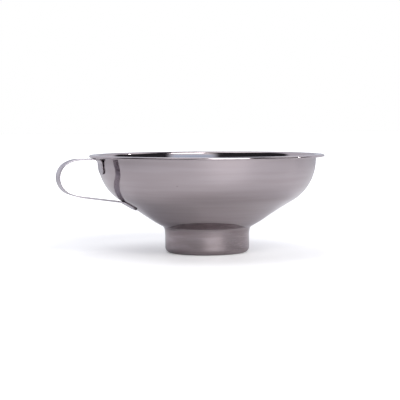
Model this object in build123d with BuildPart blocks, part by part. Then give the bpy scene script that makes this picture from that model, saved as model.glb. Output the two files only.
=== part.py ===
"""Canning funnel: a pressed sheet body with a strap handle spot-welded to its side.

Millimetres. The origin is the centre of the neck's foot, +Z is up along the funnel's axis, and
the handle points along -X. The funnel has no moving parts.

Every outline is a chain of straight runs and tangent arcs. An angle in a chain is measured from
the vertical: 0 runs straight up, 90 runs level.
"""

from build123d import *
from math import cos, radians, sin
import os

os.makedirs("parts", exist_ok=True)

# ---- driving dimensions of the body ---------------------------------------------------------
sheet = 0.5  # thickness of the stainless sheet
rim_radius = 72.5
height = 60.5
neck_radius = 26.0  # outside of the neck, which enters the jar

# The foot of the neck keeps its drawing radius and a short level edge where the hole is pierced.
foot_radius = 3.2
foot_land = 1.2

# The neck opens into the bowl through a slight flare and a tight fillet.
flare_radius = 20.0
flare_angle = 12.0
fillet_radius = 3.0
shoulder_angle = 62.6  # where the fillet ends, the flattest part of the slope

# The slope steepens over its shoulder, then runs a little hollow up to the belly of the bowl.
shoulder_radius = 72.0
slope_angle = 55.8
hollow_radius = 200.0
belly_angle = 60.2
belly_radius = 29.0
wall_taper = 4.4
wall_length = 4.4
wall_radius = 67.4  # outside of the wall, where it turns out into the rim

# The rim is a level flange whose edge is folded back under it.
rim_corner_radius = 1.0
fold_radius = 0.8  # outside radius of the fold
fold_return = 2.0  # length of the folded edge under the flange

# ---- driving dimensions of the handle -------------------------------------------------------
strap_width = 11.0
strap_thickness = 0.8
strap_edge_radius = 0.2
tolerance = 0.01  # for telling the strap's cut edges from the seams between its bends
handle_reach = 93.8  # from the funnel's axis to the outside of the loop
rim_gap = 0.2  # between the strap and the fold above it
tab_gap = 0.05  # between each tab and the body, bridged by the welds

# The outside face of the strap, from the level top run round the finger loop.
crest_radius = 16.8
crest_angle = 60.0
grip_top_radius = 10.3
grip_base_radius = 10.8
base_angle = 69.0
heel_radius = 43.4
lower_run_angle = 82.0

upper_bend_radius = 3.4
upper_tab_angle = 15.4  # where the upper tab ends on the belly
lower_bend_radius = 5.6
lower_tab_angle = 59.4
lower_tab_drop = 8.6  # from where the lower tab touches the belly down to its end
tab_corner_radius = 3.4

# ---- driving dimensions of the spot welds ---------------------------------------------------
weld_radius = 1.6
weld_spacing = 5.2  # between the two welds of a tab, across the strap
weld_sink = 0.3  # how deep each nugget reaches into the strap
weld_reach = 0.35  # how deep it is drawn into the body's sheet before it is trimmed to its skin
dimple_radius = 1.9  # the electrode's mark on the outside of the strap
dimple_depth = 0.12
upper_weld_angle = 9.0  # where the welds stand on the belly
lower_weld_drop = 2.2  # from where the lower tab touches the belly down to its welds


def arc_step(radius, from_angle, to_angle):
    """The run outwards and the rise of an arc between two angles from the vertical."""
    run = radius * abs(cos(radians(from_angle)) - cos(radians(to_angle)))
    rise = radius * abs(sin(radians(from_angle)) - sin(radians(to_angle)))
    return run, rise


def heading(angle):
    """The direction outwards and up at an angle from the vertical."""
    return Vector(sin(radians(angle)), cos(radians(angle)))


def outward(angle):
    """The direction square to that heading, away from the funnel's inside."""
    return Vector(cos(radians(angle)), -sin(radians(angle)))


# ---- where the body's stretches start and end -----------------------------------------------
body_arcs = [
    arc_step(flare_radius, 0, flare_angle),
    arc_step(fillet_radius, flare_angle, shoulder_angle),
    arc_step(shoulder_radius, shoulder_angle, slope_angle),
    arc_step(hollow_radius, slope_angle, belly_angle),
    arc_step(belly_radius, belly_angle, wall_taper),
]
flange_z = height - sheet  # the underside of the flange
wall_end_z = flange_z - arc_step(rim_corner_radius, wall_taper, 90)[1]
wall = heading(wall_taper) * wall_length

# The slope's straight closes the outline outwards, and the neck's straight closes it upwards.
slope_run = wall_radius - neck_radius - wall.X - sum(run for run, rise in body_arcs)
slope = heading(slope_angle) * (slope_run / sin(radians(slope_angle)))
neck_top_z = wall_end_z - wall.Y - slope.Y - sum(rise for run, rise in body_arcs)

# ---- funnel body ----------------------------------------------------------------------------
with BuildPart() as funnel_body:
    with BuildSketch(Plane.XZ):
        with BuildLine():
            # The outer skin, from the pierced edge of the foot up to the end of the folded rim.
            foot_edge = Line(
                (neck_radius - foot_radius - foot_land, 0),
                (neck_radius - foot_radius, 0),
            )
            foot = JernArc(foot_edge @ 1, foot_edge % 1, foot_radius, 90)
            neck = Line(foot @ 1, (neck_radius, neck_top_z))
            flare = JernArc(neck @ 1, neck % 1, flare_radius, -flare_angle)
            neck_fillet = JernArc(flare @ 1, flare % 1, fillet_radius, flare_angle - shoulder_angle)
            shoulder = JernArc(
                neck_fillet @ 1, neck_fillet % 1, shoulder_radius, shoulder_angle - slope_angle
            )
            slope_line = Line(shoulder @ 1, shoulder @ 1 + slope)
            hollow = JernArc(slope_line @ 1, slope_line % 1, hollow_radius, slope_angle - belly_angle)
            belly = JernArc(hollow @ 1, hollow % 1, belly_radius, belly_angle - wall_taper)
            wall_line = Line(belly @ 1, belly @ 1 + wall)
            rim_corner = JernArc(wall_line @ 1, wall_line % 1, rim_corner_radius, wall_taper - 90)
            flange = Line(rim_corner @ 1, (rim_radius - fold_radius, flange_z))
            fold = JernArc(flange @ 1, flange % 1, fold_radius - sheet, -180)
            Line(fold @ 1, fold @ 1 - Vector(fold_return, 0))
            offset(amount=sheet, side=Side.RIGHT)
        make_face()
    revolve(axis=Axis.Z)
funnel_body.part.label = "funnel_body"
export_step(funnel_body.part, "parts/funnel_body.step")

# ---- places on the skin of the belly --------------------------------------------------------
belly_centre = belly @ 1 - outward(wall_taper) * belly_radius


def off_belly(angle, distance):
    """The point at a distance outside the belly, where its skin stands at an angle."""
    return belly_centre + outward(angle) * (belly_radius + distance)


# ---- places and shapes of the spot welds ----------------------------------------------------
# The side view's plane: x runs outwards through the handle, y runs up.
handle_side = Plane(origin=(0, 0, 0), x_dir=(-1, 0, 0), z_dir=(0, 1, 0))
lower_weld_point = off_belly(lower_tab_angle, tab_gap) - heading(lower_tab_angle) * lower_weld_drop


def weld_plane(point, angle):
    """A plane on a tab's welded face, with x across the strap and z into it."""
    return Plane(
        origin=handle_side.from_local_coords(point),
        x_dir=(0, 1, 0),
        z_dir=handle_side.from_local_coords(outward(angle)),
    )


def weld_pair(plane, mode):
    """The two welds of a tab, from within the body's sheet to within the strap."""
    with Locations(plane.offset(-weld_reach)):
        with GridLocations(weld_spacing, 0, 2, 1):
            Cylinder(
                weld_radius,
                weld_reach + weld_sink,
                align=(Align.CENTER, Align.CENTER, Align.MIN),
                mode=mode,
            )


weld_planes = {
    "upper": weld_plane(off_belly(upper_weld_angle, tab_gap), upper_weld_angle),
    "lower": weld_plane(lower_weld_point, lower_tab_angle),
}

# ---- handle strap ---------------------------------------------------------------------------
top_run_z = height - 2 * fold_radius - rim_gap
top_run_end = (
    handle_reach
    - arc_step(crest_radius, 90, crest_angle)[0]
    - arc_step(grip_top_radius, crest_angle, 0)[0]
)
lower_tab_touch = off_belly(lower_tab_angle, tab_gap + strap_thickness)

with BuildPart() as handle_strap:
    with BuildSketch(handle_side):
        with BuildLine() as strap_line:
            # The outside face of the loop, from the end of the upper tab to that of the lower.
            upper_tab = JernArc(
                off_belly(upper_tab_angle, tab_gap),
                heading(upper_tab_angle),
                belly_radius + tab_gap,
                upper_tab_angle - wall_taper,
            )
            wall_rise = (top_run_z - (upper_tab @ 1).Y) / cos(radians(wall_taper))
            up_wall = Line(upper_tab @ 1, upper_tab @ 1 + heading(wall_taper) * wall_rise)
            top_run = Line(up_wall @ 1, (top_run_end, top_run_z))
            crest = JernArc(top_run @ 1, top_run % 1, crest_radius, crest_angle - 90)
            grip_top = JernArc(crest @ 1, crest % 1, grip_top_radius, -crest_angle)
            grip_base = JernArc(grip_top @ 1, grip_top % 1, grip_base_radius, -base_angle)
            heel = JernArc(grip_base @ 1, grip_base % 1, heel_radius, base_angle - lower_run_angle)
            tab_line = Line(
                lower_tab_touch - heading(lower_tab_angle) * lower_tab_drop,
                lower_tab_touch + heading(lower_tab_angle) * belly_radius,
                mode=Mode.PRIVATE,
            )
            lower_run = IntersectingLine(heel @ 1, heel % 1, tab_line)
            Line(lower_run @ 1, tab_line @ 0)
            fillet(strap_line.vertices().sort_by_distance(up_wall @ 1)[0], upper_bend_radius)
            fillet(strap_line.vertices().sort_by_distance(lower_run @ 1)[0], lower_bend_radius)
            offset(amount=strap_thickness, side=Side.RIGHT)
        make_face()
    extrude(amount=strap_width / 2, both=True)

    # The tabs' corners are rounded, and then the edges all round are broken.
    fillet(handle_strap.edges().group_by(SortBy.LENGTH)[0], tab_corner_radius)
    seams = (strap_width, strap_thickness)
    outline = handle_strap.edges().filter_by(
        lambda edge: all(abs(edge.length - seam) > tolerance for seam in seams)
    )
    fillet(outline, strap_edge_radius)
    for plane in weld_planes.values():
        weld_pair(plane, Mode.SUBTRACT)
        with Locations(plane.offset(strap_thickness)):
            with GridLocations(weld_spacing, 0, 2, 1):
                Cylinder(dimple_radius, 2 * dimple_depth, mode=Mode.SUBTRACT)
handle_strap.part.label = "handle_strap"
export_step(handle_strap.part, "parts/handle_strap.step")

# ---- spot welds -----------------------------------------------------------------------------
for place, plane in weld_planes.items():
    with BuildPart() as weld_nuggets:
        weld_pair(plane, Mode.ADD)
        add(funnel_body.part, mode=Mode.SUBTRACT)
    weld_nuggets.part.label = f"{place}_weld_nuggets"
    export_step(weld_nuggets.part, f"parts/{place}_weld_nuggets.step")
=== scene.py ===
"""The looks of the canning funnel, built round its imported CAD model. Metres, +Z up, handle along -X."""

from math import atan2, ceil, cos, degrees, pi, radians, sin, sqrt, tan

import bpy
from mathutils import Matrix, Vector


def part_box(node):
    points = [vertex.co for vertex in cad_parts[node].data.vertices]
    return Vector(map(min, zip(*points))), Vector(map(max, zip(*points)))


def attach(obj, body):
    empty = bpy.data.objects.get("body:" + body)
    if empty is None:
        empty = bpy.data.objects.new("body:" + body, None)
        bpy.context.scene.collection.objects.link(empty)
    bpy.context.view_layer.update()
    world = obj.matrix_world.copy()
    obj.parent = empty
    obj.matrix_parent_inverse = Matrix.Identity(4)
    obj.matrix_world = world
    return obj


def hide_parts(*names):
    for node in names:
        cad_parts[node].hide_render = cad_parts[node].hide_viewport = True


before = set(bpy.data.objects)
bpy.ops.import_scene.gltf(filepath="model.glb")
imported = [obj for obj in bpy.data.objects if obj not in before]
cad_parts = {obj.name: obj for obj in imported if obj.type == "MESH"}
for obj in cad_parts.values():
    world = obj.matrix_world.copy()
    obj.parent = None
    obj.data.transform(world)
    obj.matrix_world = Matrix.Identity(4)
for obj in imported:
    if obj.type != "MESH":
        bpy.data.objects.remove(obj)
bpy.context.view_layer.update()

MM = 0.001
BODY = "root"

# ---- sizes from the frame -------------------------------------------------------------------
BODY_LOW, BODY_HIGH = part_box("funnel_body")
STRAP_LOW, STRAP_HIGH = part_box("handle_strap")
RIM_RADIUS = BODY_HIGH.y
HEIGHT = BODY_HIGH.z
REACH = -STRAP_LOW.x
STRAP_WIDTH = STRAP_HIGH.y - STRAP_LOW.y

# ---- the body's outline, as in the CAD source except for the fold's shape ---------------------
SHEET = 0.5 * MM
NECK_RADIUS = 26 * MM
FOOT_RADIUS = 3.2 * MM
FOOT_LAND = 1.2 * MM
FLARE = (20 * MM, 12.0)  # radius, and the angle from the vertical where it ends
FILLET = (3 * MM, 62.6)
SHOULDER = (72 * MM, 55.8)
HOLLOW = (200 * MM, 60.2)
BELLY = (29 * MM, 4.4)
WALL_LENGTH = 4.4 * MM
WALL_RADIUS = 67.4 * MM
RIM_CORNER = 1 * MM
FOLD_TOP = 1.05 * MM  # the fold is pressed flatter below than above
FOLD_BASE = 0.55 * MM
FOLD_RETURN = 2.25 * MM
TURNS = 288  # faces round the axis

# ---- the strap's outline, as in the CAD source except for its slightly softer edges -----------
STRAP_THICKNESS = 0.8 * MM
STRAP_EDGE = 0.25 * MM
RIM_GAP = 0.2 * MM
TAB_GAP = 0.05 * MM
CREST = (16.8 * MM, 30.0)  # radius, and the angle it turns through
GRIP_TOP = (10.3 * MM, 60.0)
GRIP_BASE = (10.8 * MM, 69.0)
HEEL = (43.4 * MM, 13.0)
UPPER_BEND = 3.4 * MM
UPPER_TAB_ANGLE = 15.4
LOWER_BEND = 5.6 * MM
LOWER_TAB_ANGLE = 59.4
LOWER_TAB_DROP = 8.6 * MM
TAB_CORNER = 3.4 * MM
WELD_SPACING = 5.2 * MM
DIMPLE_RADIUS = 1.9 * MM
DIMPLE_DEPTH = 0.12 * MM
UPPER_WELD_ANGLE = 9.0
LOWER_WELD_DROP = 2.2 * MM

# ---- how finely the strap's mesh is divided --------------------------------------------------
FINE = 0.25 * MM  # the length of a face along a tab
FACE_POINTS = 32
CORNER_POINTS = 4
END_SPLITS = (0.6, 0.3, 0.1)  # where the last face at each end is cut again, for its rounded edge

# ---- the photographer's place ---------------------------------------------------------------
CAMERA_AZIMUTH = -18.2  # degrees round from -Y; negative is towards the handle
CAMERA_DISTANCE = 804 * MM
CAMERA_HEIGHT = 82.2 * MM
CAMERA_LENS = 117.2
SENSOR_WIDTH = 36
CAMERA_ROLL = -0.27
AIM_HEIGHT = HEIGHT / 2
AIM_LEFT = 4.3 * MM  # the funnel stands a little right of and below the middle of the frame
AIM_UP = 1.9 * MM

# ---- the steel ------------------------------------------------------------------------------
NECK_TOP = 15 * MM  # where the neck's rougher, brush-marked finish and its painted shade give way to the polished slope
NECK_FADE = 1.5 * MM
NECK_ROUGHER = 0.16
BOWL_PALE = (0.435, 0.385, 0.405, 1)
BOWL_DULL = (0.405, 0.355, 0.37, 1)
# The neck's two colours are darker than the bowl's: painted shade, standing in for the shade under the
# bowl.
NECK_SHADE_PALE = (0.37, 0.32, 0.335, 1)
NECK_SHADE_DULL = (0.32, 0.27, 0.28, 1)
SPECK_COLOUR = (0.09, 0.08, 0.08, 1)
SPECK_EDGE = (0.018, 0.03)  # in the Voronoi cells' own measure
SPECKS_PER_METRE = 80.0
FINE_RINGS_PER_METRE = 2600
BROAD_RINGS_PER_METRE = 260
SMUDGE_SCALE = 22.0
BOWL_ROUGHNESS = (0.06, 0.1)
RING_ROUGHNESS = (-0.015, 0.02)
RING_DEPTH = 2e-6
STRAP_PALE = (0.46, 0.43, 0.47, 1)
STRAP_DULL = (0.42, 0.38, 0.41, 1)
STRAP_ROUGHNESS = (0.26, 0.32)
GRAIN_ROUGHNESS = (-0.02, 0.02)
GRAIN_SCALE = 1500.0
GRAIN_DEPTH = 1e-5
CLOUD_SCALE = 60.0
WELD_COLOUR = (0.38, 0.33, 0.31, 1)
WELD_ROUGHNESS = (0.35, 0.45)
WELD_GRAIN_SCALE = 900.0

# ---- the floor ------------------------------------------------------------------------------
FLOOR_HALF = 6.0
FLOOR_COLOUR = (0.9, 0.9, 0.91, 1)
VEIL_GLOW = (0.3, 1.0)  # the glow added where the camera sees the floor, near the funnel and far off
VEIL_EDGE = (0.1, 0.9)  # metres from the funnel's axis, between which it rises

# ---- the studio: azimuths are degrees round to the photographer's right ----------------------
ROOM_AZIMUTH = (-100, 120)
ROOM_ELEVATION = (-4, 70)
WINDOW_AZIMUTH = (-8, 40)
WINDOW_ELEVATION = (-4, 22)
SKY_ELEVATION = (5.5, 8.6)
BACKDROP_AZIMUTH = (145, 165)
ROOM_SOFTNESS = (6, 4)  # of its sides, and of its floor and ceiling
WINDOW_SOFTNESS = (7, 1.5)
SKY_SOFTNESS = 1
SIDE_COLOUR = (0.92, 0.93, 1.0, 1)
BACKDROP_COLOUR = (0.6, 0.61, 0.68, 1)
ROOM_COLOUR = (0.035, 0.035, 0.04, 1)
WINDOW_COLOUR = (1.4, 1.37, 1.34, 1)
SKY_COLOUR = (0.72, 0.95, 1.2, 1)
WHITE = (1, 1, 1, 1)

# Each light's name, azimuth, distance, height, the height it is aimed at, its size and its watts.
# The first three are softboxes, and the last is a small lamp that puts a highlight on the strap.
LIGHTS = [
    ("overhead", -75, 0.25, 1.0, 0, (0.7, 0.7), 2.6),
    ("front", 24, 1.1, 0.85, 0.03, (0.85, 0.6), 12.0),
    ("side", 105, 0.8, 0.75, 0.03, (0.6, 0.6), 1.2),
    ("low_lamp", 100, 1.0, 0.4, 0.05, (0.05, 0.05), 0.4),
]


def add_camera():
    """The camera looks at the funnel almost level, from the side that the handle is turned to."""
    azimuth = radians(CAMERA_AZIMUTH)
    back = Vector((sin(azimuth), -cos(azimuth), 0))
    place = back * CAMERA_DISTANCE + Vector((0, 0, CAMERA_HEIGHT))
    look = (Vector((0, 0, AIM_HEIGHT)) - place).normalized()
    right = look.cross(Vector((0, 0, 1))).normalized()
    up = right.cross(look)
    target = Vector((0, 0, AIM_HEIGHT)) - right * AIM_LEFT + up * AIM_UP
    data = bpy.data.cameras.new("camera")
    data.lens = CAMERA_LENS
    data.sensor_width = SENSOR_WIDTH
    data.clip_start = 0.05
    data.clip_end = 20
    camera = bpy.data.objects.new("camera", data)
    bpy.context.scene.collection.objects.link(camera)
    facing = (target - place).to_track_quat("-Z", "Y").to_matrix().to_4x4()
    roll = Matrix.Rotation(radians(CAMERA_ROLL), 4, "Z")
    camera.matrix_world = Matrix.Translation(place) @ facing @ roll
    bpy.context.scene.camera = camera


# ---- outlines -------------------------------------------------------------------------------
class Outline:
    """A chain of straight runs and tangent arcs in a plane, kept as stations: a point and its heading."""

    def __init__(self, start, heading):
        self.stations = [(Vector(start), radians(heading))]

    def run(self, length, step=2 * MM):
        point, heading = self.stations[-1]
        ahead = Vector((cos(heading), sin(heading)))
        pieces = max(1, ceil(length / step))
        for i in range(1, pieces + 1):
            self.stations.append((point + ahead * (length * i / pieces), heading))
        return self

    def turn(self, radius, angle, step=2.5):
        """Turns left through a positive angle, and right through a negative one, in degrees."""
        point, heading = self.stations[-1]
        side = 1 if angle > 0 else -1
        centre = point + Vector((-sin(heading), cos(heading))) * radius * side
        pieces = max(2, ceil(abs(angle) / step))
        for i in range(1, pieces + 1):
            h = heading + radians(angle) * i / pieces
            self.stations.append((centre - Vector((-sin(h), cos(h))) * radius * side, h))
        return self

    def end(self):
        return self.stations[-1][0]


def arc_step(radius, from_angle, to_angle):
    """The run outwards and the rise of an arc between two angles from the vertical."""
    run = radius * abs(cos(radians(from_angle)) - cos(radians(to_angle)))
    rise = radius * abs(sin(radians(from_angle)) - sin(radians(to_angle)))
    return Vector((run, rise))


def heading(angle):
    """The direction outwards and up at an angle from the vertical."""
    return Vector((sin(radians(angle)), cos(radians(angle))))


def outward(angle):
    """The direction square to that heading, away from the funnel's inside."""
    return Vector((cos(radians(angle)), -sin(radians(angle))))


def body_outline():
    """The outer skin from the foot's pierced edge to the end of the folded rim, and the belly's centre."""
    arcs = [FLARE, FILLET, SHOULDER, HOLLOW, BELLY]
    angles = [0.0] + [angle for radius, angle in arcs]
    steps = [arc_step(radius, angles[i], angles[i + 1]) for i, (radius, angle) in enumerate(arcs)]
    arcs_span = sum(steps, Vector((0, 0)))
    taper, slope_angle = BELLY[1], SHOULDER[1]
    wall = heading(taper) * WALL_LENGTH
    wall_end = HEIGHT - SHEET - arc_step(RIM_CORNER, taper, 90).y
    slope_length = (WALL_RADIUS - NECK_RADIUS - wall.x - arcs_span.x) / sin(radians(slope_angle))
    neck_top = wall_end - wall.y - arcs_span.y - slope_length * cos(radians(slope_angle))

    skin = Outline((NECK_RADIUS - FOOT_RADIUS - FOOT_LAND, 0), 0)
    skin.run(FOOT_LAND).turn(FOOT_RADIUS, 90).run(neck_top - FOOT_RADIUS)
    skin.turn(FLARE[0], -FLARE[1], step=1).turn(FILLET[0], FLARE[1] - FILLET[1])
    skin.turn(SHOULDER[0], FILLET[1] - SHOULDER[1], step=0.5).run(slope_length)
    skin.turn(HOLLOW[0], SHOULDER[1] - HOLLOW[1], step=0.25)
    skin.turn(BELLY[0], HOLLOW[1] - taper, step=1)
    belly_centre = skin.end() - outward(taper) * BELLY[0]
    skin.run(WALL_LENGTH).turn(RIM_CORNER, taper - 90, step=6)
    skin.run(RIM_RADIUS - FOLD_TOP - skin.end().x)
    skin.turn(FOLD_TOP - SHEET, -90, step=6).turn(FOLD_BASE - SHEET, -90, step=15).run(FOLD_RETURN)
    return skin, belly_centre


# ---- meshes ---------------------------------------------------------------------------------
def new_piece(name, vertices, faces, material, sharp_angle=35):
    mesh = bpy.data.meshes.new(name)
    mesh.from_pydata([tuple(v) for v in vertices], [], faces)
    mesh.materials.append(material)
    mesh.shade_smooth()
    mesh.set_sharp_from_angle(angle=radians(sharp_angle))
    piece = bpy.data.objects.new(name, mesh)
    bpy.context.scene.collection.objects.link(piece)
    return piece


def lathe(name, loop, segments, material):
    """Turns a closed loop of (radius, height) points round the Z axis."""
    vertices, faces = [], []
    count = len(loop)
    for i in range(segments):
        turn = 2 * pi * i / segments
        vertices += [(r * cos(turn), r * sin(turn), z) for r, z in loop]
        here, there = i * count, (i + 1) % segments * count
        for j in range(count):
            k = (j + 1) % count
            faces.append((here + j, there + j, there + k, here + k))
    return new_piece(name, vertices, faces, material)


def funnel_bowl(skin, material):
    """The one pressed sheet: its outer skin, and its inner skin a sheet's thickness to the left."""
    outer = [point for point, h in skin.stations]
    inner = [point + Vector((-sin(h), cos(h))) * SHEET for point, h in reversed(skin.stations)]
    piece = lathe("funnel_bowl", [(p.x, p.y) for p in outer + inner], TURNS, material)
    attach(piece, BODY)
    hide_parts("funnel_body")
    return piece


def off_belly(belly_centre, angle, distance):
    """The point at a distance outside the belly, where its skin stands at an angle."""
    return belly_centre + outward(angle) * (BELLY[0] + distance)


def distance_to_line(start, direction, through, along):
    """The distance from start along direction to the line through a point."""
    gap = through - start
    cross = direction.x * along.y - direction.y * along.x
    return (gap.x * along.y - gap.y * along.x) / cross


def strap_outline(belly_centre):
    """The strap's outer face round the finger loop, from the end of the upper tab to that of the lower."""
    taper = BELLY[1]
    top_run = HEIGHT - FOLD_TOP - FOLD_BASE - RIM_GAP
    line = Outline(off_belly(belly_centre, UPPER_TAB_ANGLE, TAB_GAP), 90 - UPPER_TAB_ANGLE)
    line.turn(BELLY[0] + TAB_GAP, UPPER_TAB_ANGLE - taper, step=0.5)
    tangent = UPPER_BEND * tan(radians((90 - taper) / 2))
    rise = (top_run - line.end().y) / cos(radians(taper))
    line.run(rise - tangent, step=FINE).turn(UPPER_BEND, taper - 90, step=5)
    crest_run = CREST[0] * sin(radians(CREST[1])) + GRIP_TOP[0] * (1 - cos(radians(GRIP_TOP[1])))
    line.run(REACH - crest_run - line.end().x)
    line.turn(CREST[0], -CREST[1]).turn(GRIP_TOP[0], -GRIP_TOP[1]).turn(GRIP_BASE[0], -GRIP_BASE[1])
    line.turn(HEEL[0], -HEEL[1], step=1)

    # The level run back to the bowl bends down where it meets the line of the lower tab.
    touch = off_belly(belly_centre, LOWER_TAB_ANGLE, TAB_GAP + STRAP_THICKNESS)
    down = -heading(LOWER_TAB_ANGLE)
    place, h = line.stations[-1]
    back = Vector((cos(h), sin(h)))
    bend = (degrees(atan2(down.y, down.x)) - degrees(h)) % 360
    tangent = LOWER_BEND * tan(radians(bend / 2))
    reach = distance_to_line(place, back, touch, down)
    tab_end = touch + down * LOWER_TAB_DROP
    line.run(reach - tangent).turn(LOWER_BEND, bend, step=2)
    line.run((tab_end - line.end()).length, step=FINE)
    return line


def section(half, top, bottom, edge):
    """The strap's section as (across, depth) points, with its edges rounded; the outer face is the top."""
    flat = half - edge
    across = [flat * (2 * i / FACE_POINTS - 1) for i in range(FACE_POINTS + 1)]
    quarter = [radians(90 * i / CORNER_POINTS) for i in range(1, CORNER_POINTS)]
    points = [(x, top) for x in across]
    points += [(flat + edge * sin(a), top + edge * (1 - cos(a))) for a in quarter]
    points += [(half, top + edge), (half, bottom - edge)]
    points += [(flat + edge * cos(a), bottom - edge * (1 - sin(a))) for a in quarter]
    points += [(x, bottom) for x in reversed(across)]
    points += [(-flat - edge * sin(a), bottom - edge * (1 - cos(a))) for a in quarter]
    points += [(-half, bottom - edge), (-half, top + edge)]
    points += [(-flat - edge * cos(a), top + edge * (1 - sin(a))) for a in quarter]
    return points


def pressed(across, along, centre):
    """How deep the electrodes' marks are at a place on a tab, around the two welds across it."""
    away = sqrt((abs(across) - WELD_SPACING / 2) ** 2 + (along - centre) ** 2) / DIMPLE_RADIUS
    if away < 1:
        return DIMPLE_DEPTH * (1 - away**4)
    return 0.0


def rounding(radius, distance):
    """How far a rounded corner stands in from its straight side, at a distance from its end."""
    short = max(0.0, radius - distance)
    return radius - sqrt(radius**2 - short**2)


def strap_handle(line, belly_centre, material):
    """One strip of sheet bent round the finger loop, with its ends rounded and its edges broken."""
    stations = list(line.stations)
    for part in END_SPLITS:
        (a, ha), (b, hb) = stations[0], stations[1]
        stations.insert(1, (a.lerp(b, part), ha + (hb - ha) * part))
        (a, ha), (b, hb) = stations[-1], stations[-2]
        stations.insert(-1, (a.lerp(b, part), ha + (hb - ha) * part))
    travel = [0.0]
    for (a, ha), (b, hb) in zip(stations, stations[1:]):
        travel.append(travel[-1] + (b - a).length)
    lower_weld = off_belly(belly_centre, LOWER_TAB_ANGLE, TAB_GAP + STRAP_THICKNESS)
    lower_weld -= heading(LOWER_TAB_ANGLE) * LOWER_WELD_DROP
    upper_mark = radians(UPPER_TAB_ANGLE - UPPER_WELD_ANGLE) * (BELLY[0] + TAB_GAP)
    lower_mark = travel[-1] - (stations[-1][0] - lower_weld).length

    vertices, faces = [], []
    for (point, h), along in zip(stations, travel):
        from_end = min(along, travel[-1] - along)
        edge_in = rounding(STRAP_EDGE, from_end)
        half = STRAP_WIDTH / 2 - rounding(TAB_CORNER, from_end) - edge_in
        depth_way = Vector((sin(h), -cos(h)))
        edge = STRAP_EDGE - edge_in * 0.9  # never quite nothing, so that no faces fall together
        for across, depth in section(half, edge_in, STRAP_THICKNESS - edge_in, edge):
            if depth <= edge_in:
                depth += pressed(across, along, lower_mark)
            elif depth >= STRAP_THICKNESS - edge_in:
                depth -= pressed(across, along, upper_mark)
            place = point + depth_way * depth
            vertices.append((-place.x, across, place.y))
    count = len(vertices) // len(stations)
    for i in range(len(stations) - 1):
        for j in range(count):
            k = (j + 1) % count
            faces.append((i * count + j, i * count + k, (i + 1) * count + k, (i + 1) * count + j))
    last = (len(stations) - 1) * count
    faces.append(tuple(reversed(range(count))))
    faces.append(tuple(range(last, last + count)))
    piece = new_piece("strap_handle", vertices, faces, material)
    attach(piece, BODY)
    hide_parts("handle_strap")
    return piece


# ---- materials ------------------------------------------------------------------------------
class Nodes:
    """A short way to add and join shader nodes."""

    def __init__(self, tree):
        self.tree = tree
        tree.nodes.clear()

    def add(self, kind, inputs=None, **settings):
        """A node with its settings and its inputs, each a value or another node's output."""
        node = self.tree.nodes.new(kind)
        for key, value in settings.items():
            setattr(node, key, value)
        for key, value in (inputs or {}).items():
            self.set(node, key, value)
        return node

    def set(self, node, key, value):
        if isinstance(value, bpy.types.NodeSocket):
            self.tree.links.new(value, node.inputs[key])
        else:
            node.inputs[key].default_value = value

    def math(self, operation, a, b=0.0):
        return self.add("ShaderNodeMath", {0: a, 1: b}, operation=operation).outputs[0]

    def ramp(self, value, low, high, from_low=0.0, from_high=1.0):
        """Maps a value smoothly from one range to another."""
        inputs = {"Value": value, "To Min": low, "To Max": high}
        inputs.update({"From Min": from_low, "From Max": from_high})
        node = self.add("ShaderNodeMapRange", inputs, interpolation_type="SMOOTHSTEP")
        return node.outputs["Result"]

    def mix(self, share, a, b):
        """Colour a at a share of 0, colour b at a share of 1."""
        node = self.add("ShaderNodeMix", data_type="RGBA")
        colours = [s for s in node.inputs if s.type == "RGBA"]
        self.set(node, 0, share)
        for socket, value in zip(colours, (a, b)):
            if isinstance(value, bpy.types.NodeSocket):
                self.tree.links.new(value, socket)
            else:
                socket.default_value = value
        return next(s for s in node.outputs if s.type == "RGBA")


def new_material(name):
    """An empty material and its nodes."""
    material = bpy.data.materials.new(name)
    material.use_nodes = True
    return material, Nodes(material.node_tree)


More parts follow.
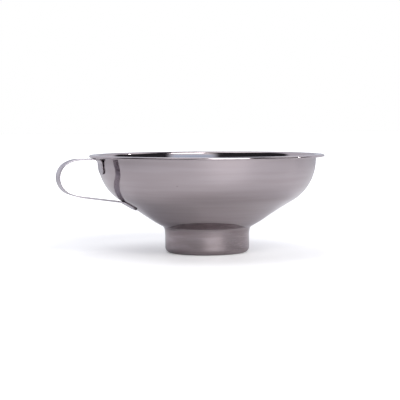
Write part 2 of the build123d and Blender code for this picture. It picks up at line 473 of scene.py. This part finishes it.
def bowl_steel():
    """Bright stainless sheet, polished on a lathe: fine rings round the axis and faint smudges."""
    material, n = new_material("bowl_steel")
    place = n.add("ShaderNodeTexCoord").outputs["Object"]
    xyz = n.add("ShaderNodeSeparateXYZ", {0: place})
    flat = n.add("ShaderNodeCombineXYZ", {0: xyz.outputs[0], 1: xyz.outputs[1]})
    radius = n.add("ShaderNodeVectorMath", {0: flat.outputs[0]}, operation="LENGTH").outputs["Value"]
    around = n.add("ShaderNodeVectorMath", {0: flat.outputs[0]}, operation="NORMALIZE").outputs["Vector"]
    along = n.math("ADD", radius, xyz.outputs[2])
    turn = n.add("ShaderNodeSeparateXYZ", {0: around})

    def rings(per_metre, around_scale, detail):
        """Noise drawn out round the axis, so many to the metre along the skin."""
        vector = n.add(
            "ShaderNodeCombineXYZ",
            {
                0: n.math("MULTIPLY", turn.outputs[0], around_scale),
                1: n.math("MULTIPLY", turn.outputs[1], around_scale),
                2: n.math("MULTIPLY", along, per_metre),
            },
        )
        noise = n.add("ShaderNodeTexNoise", {"Vector": vector.outputs[0], "Scale": 1.0, "Detail": detail})
        return noise.outputs[0]

    fine = rings(FINE_RINGS_PER_METRE, 3.0, 2.0)
    broad = rings(BROAD_RINGS_PER_METRE, 1.2, 3.0)
    smudge = n.add("ShaderNodeTexNoise", {"Vector": place, "Scale": SMUDGE_SCALE, "Detail": 4.0}).outputs[0]
    tint = n.ramp(broad, 0.0, 1.0, 0.35, 0.65)
    neck = n.ramp(xyz.outputs[2], 1.0, 0.0, NECK_TOP - NECK_FADE, NECK_TOP + NECK_FADE)
    polished = n.mix(tint, BOWL_DULL, BOWL_PALE)
    # painted shade: below NECK_TOP the steel is coloured darker for the shade under the bowl; only the
    # added roughness is the neck's own finish
    neck_shade_colour = n.mix(tint, NECK_SHADE_DULL, NECK_SHADE_PALE)
    clean = n.mix(neck, polished, neck_shade_colour)
    cell = n.add("ShaderNodeTexVoronoi", {"Vector": place, "Scale": SPECKS_PER_METRE}).outputs["Distance"]
    colour = n.mix(n.ramp(cell, 0.75, 0.0, *SPECK_EDGE), clean, SPECK_COLOUR)
    smudges = n.ramp(smudge, *BOWL_ROUGHNESS, 0.35, 0.65)
    rough = n.math("ADD", smudges, n.ramp(fine, *RING_ROUGHNESS, 0.3, 0.7))
    rough = n.math("ADD", rough, n.math("MULTIPLY", neck, NECK_ROUGHER))
    bump = n.add("ShaderNodeBump", {"Strength": 0.25, "Distance": RING_DEPTH, "Height": fine})
    shader = n.add(
        "ShaderNodeBsdfPrincipled",
        {
            "Base Color": colour,
            "Metallic": 1.0,
            "Roughness": rough,
            "Normal": bump.outputs[0],
        },
    )
    n.add("ShaderNodeOutputMaterial", {0: shader.outputs[0]})
    return material


def strap_steel():
    """Stainless strip, tumbled: the same steel, duller, with a fine even grain."""
    material, n = new_material("strap_steel")
    place = n.add("ShaderNodeTexCoord").outputs["Object"]
    grain = n.add("ShaderNodeTexNoise", {"Vector": place, "Scale": GRAIN_SCALE, "Detail": 3.0}).outputs[0]
    cloud = n.add("ShaderNodeTexNoise", {"Vector": place, "Scale": CLOUD_SCALE, "Detail": 3.0}).outputs[0]
    colour = n.mix(n.ramp(cloud, 0.0, 1.0, 0.35, 0.65), STRAP_DULL, STRAP_PALE)
    clouds = n.ramp(cloud, *STRAP_ROUGHNESS, 0.35, 0.65)
    rough = n.math("ADD", clouds, n.ramp(grain, *GRAIN_ROUGHNESS, 0.3, 0.7))
    bump = n.add("ShaderNodeBump", {"Strength": 0.3, "Distance": GRAIN_DEPTH, "Height": grain})
    shader = n.add(
        "ShaderNodeBsdfPrincipled",
        {"Base Color": colour, "Metallic": 1.0, "Roughness": rough, "Normal": bump.outputs[0]},
    )
    n.add("ShaderNodeOutputMaterial", {0: shader.outputs[0]})
    return material


def weld_steel():
    """The welds' steel: dull, with an uneven grain."""
    material, n = new_material("weld_steel")
    place = n.add("ShaderNodeTexCoord").outputs["Object"]
    noise = {"Vector": place, "Scale": WELD_GRAIN_SCALE, "Detail": 3.0}
    grain = n.add("ShaderNodeTexNoise", noise).outputs[0]
    rough = n.ramp(grain, *WELD_ROUGHNESS, 0.35, 0.65)
    shader = n.add(
        "ShaderNodeBsdfPrincipled", {"Base Color": WELD_COLOUR, "Metallic": 1.0, "Roughness": rough}
    )
    n.add("ShaderNodeOutputMaterial", {0: shader.outputs[0]})
    return material


# ---- studio ---------------------------------------------------------------------------------
def add_floor():
    """A plain pale floor. Where the camera sees it directly, it is whitened, and more so further off."""
    material, n = new_material("floor_white")
    paper = n.add(
        "ShaderNodeBsdfPrincipled",
        {"Base Color": FLOOR_COLOUR, "Roughness": 0.5, "Specular IOR Level": 0.6},
    )
    place = n.add("ShaderNodeTexCoord").outputs["Object"]
    away = n.add("ShaderNodeVectorMath", {0: place}, operation="LENGTH").outputs["Value"]
    seen = n.add("ShaderNodeLightPath").outputs["Is Camera Ray"]
    veil = n.math("MULTIPLY", seen, n.ramp(away, *VEIL_GLOW, *VEIL_EDGE))
    glow = n.add("ShaderNodeEmission", {"Color": WHITE, "Strength": veil})
    shader = n.add("ShaderNodeAddShader", {0: paper.outputs[0], 1: glow.outputs[0]})
    n.add("ShaderNodeOutputMaterial", {0: shader.outputs[0]})
    half = FLOOR_HALF
    corners = [(-half, -half, 0), (half, -half, 0), (half, half, 0), (-half, half, 0)]
    floor = new_piece("floor", corners, [(0, 1, 2, 3)], material)


def add_light(name, azimuth, distance, height, aim, size, watts):
    """A rectangular light at an azimuth from the camera's, turned to a height on the funnel's axis."""
    data = bpy.data.lights.new(name, "AREA")
    data.shape = "RECTANGLE"
    data.size, data.size_y = size
    data.energy = watts
    light = bpy.data.objects.new(name, data)
    bpy.context.scene.collection.objects.link(light)
    place = beside_camera(azimuth, distance, height)
    light.location = place
    light.rotation_euler = (Vector((0, 0, aim)) - place).to_track_quat("-Z", "Y").to_euler()


def add_world():
    """A dark room in front with a bright window that shows some sky, and a grey backdrop behind.

    They show in reflections only: to the camera itself the world is plain white.
    """
    world = bpy.data.worlds.new("studio")
    world.use_nodes = True
    bpy.context.scene.world = world
    n = Nodes(world.node_tree)
    direction = n.add("ShaderNodeTexCoord").outputs["Generated"]
    xyz = n.add("ShaderNodeSeparateXYZ", {0: direction})
    x, y, z = xyz.outputs
    turn = radians(CAMERA_AZIMUTH)
    front = n.math("ADD", n.math("MULTIPLY", x, sin(turn)), n.math("MULTIPLY", y, -cos(turn)))
    right = n.math("ADD", n.math("MULTIPLY", x, cos(turn)), n.math("MULTIPLY", y, sin(turn)))
    azimuth = n.math("MULTIPLY", n.math("ARCTAN2", right, front), 180 / pi)
    elevation = n.math("MULTIPLY", n.math("ARCSINE", z), 180 / pi)

    def between(value, low, high, soft):
        """1 between two values and 0 outside them, with soft ends."""
        rise = n.ramp(value, 0.0, 1.0, low - soft, low + soft)
        fall = n.ramp(value, 1.0, 0.0, high - soft, high + soft)
        return n.math("MULTIPLY", rise, fall)

    room_wide = between(azimuth, *ROOM_AZIMUTH, ROOM_SOFTNESS[0])
    room = n.math("MULTIPLY", room_wide, between(elevation, *ROOM_ELEVATION, ROOM_SOFTNESS[1]))
    window_wide = between(azimuth, *WINDOW_AZIMUTH, WINDOW_SOFTNESS[0])
    window = n.math("MULTIPLY", window_wide, between(elevation, *WINDOW_ELEVATION, WINDOW_SOFTNESS[1]))
    sky = n.math("MULTIPLY", window_wide, between(elevation, *SKY_ELEVATION, SKY_SOFTNESS))
    behind = n.ramp(n.math("ABSOLUTE", azimuth), 0.0, 1.0, *BACKDROP_AZIMUTH)
    colour = n.mix(behind, SIDE_COLOUR, BACKDROP_COLOUR)
    colour = n.mix(room, colour, ROOM_COLOUR)
    colour = n.mix(window, colour, WINDOW_COLOUR)
    colour = n.mix(sky, colour, SKY_COLOUR)
    seen = n.add("ShaderNodeLightPath").outputs["Is Camera Ray"]
    colour = n.mix(seen, colour, WHITE)
    shader = n.add("ShaderNodeBackground", {"Color": colour, "Strength": 1.0})
    n.add("ShaderNodeOutputWorld", {0: shader.outputs[0]})


def beside_camera(azimuth, distance, height):
    """A place at an azimuth round to the photographer's right."""
    turn = radians(CAMERA_AZIMUTH + azimuth)
    return Vector((sin(turn) * distance, -cos(turn) * distance, height))


add_camera()
bpy.context.scene.view_settings.view_transform = "Standard"
add_world()
add_floor()
for light in LIGHTS:
    add_light(*light)

bowl_skin, belly_middle = body_outline()
funnel_bowl(bowl_skin, bowl_steel())
strap_handle(strap_outline(belly_middle), belly_middle, strap_steel())
weld_material = weld_steel()
for node in ("upper_weld_nuggets", "lower_weld_nuggets"):
    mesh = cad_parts[node].data
    mesh.materials.clear()
    mesh.materials.append(weld_material)
